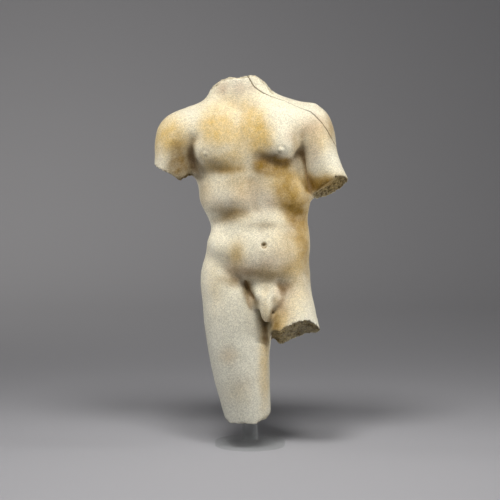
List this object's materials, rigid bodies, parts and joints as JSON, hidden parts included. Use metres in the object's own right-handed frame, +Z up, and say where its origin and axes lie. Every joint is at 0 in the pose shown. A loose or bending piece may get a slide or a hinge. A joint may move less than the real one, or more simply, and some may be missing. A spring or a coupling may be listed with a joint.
{
  "type": "marble torso statuette on a clear post",
  "caption": "Weathered white marble torso of a standing nude, broken at neck, arms and thighs, held up by a clear rod on a small clear disc.",
  "frame": {"origin": "middle of the foot's underside, where it rests on the shelf", "axes": "+Z up, the figure faces -Y, +X toward the figure's own left"},
  "size_m": [0.2206, 0.1075, 0.4233],
  "materials": {
    "marble": "matte",
    "clear_acrylic": "gloss"
  },
  "bodies": {
    "root": {"torso": "marble", "post": "clear_acrylic", "foot": "clear_acrylic"}
  },
  "joints": []
}
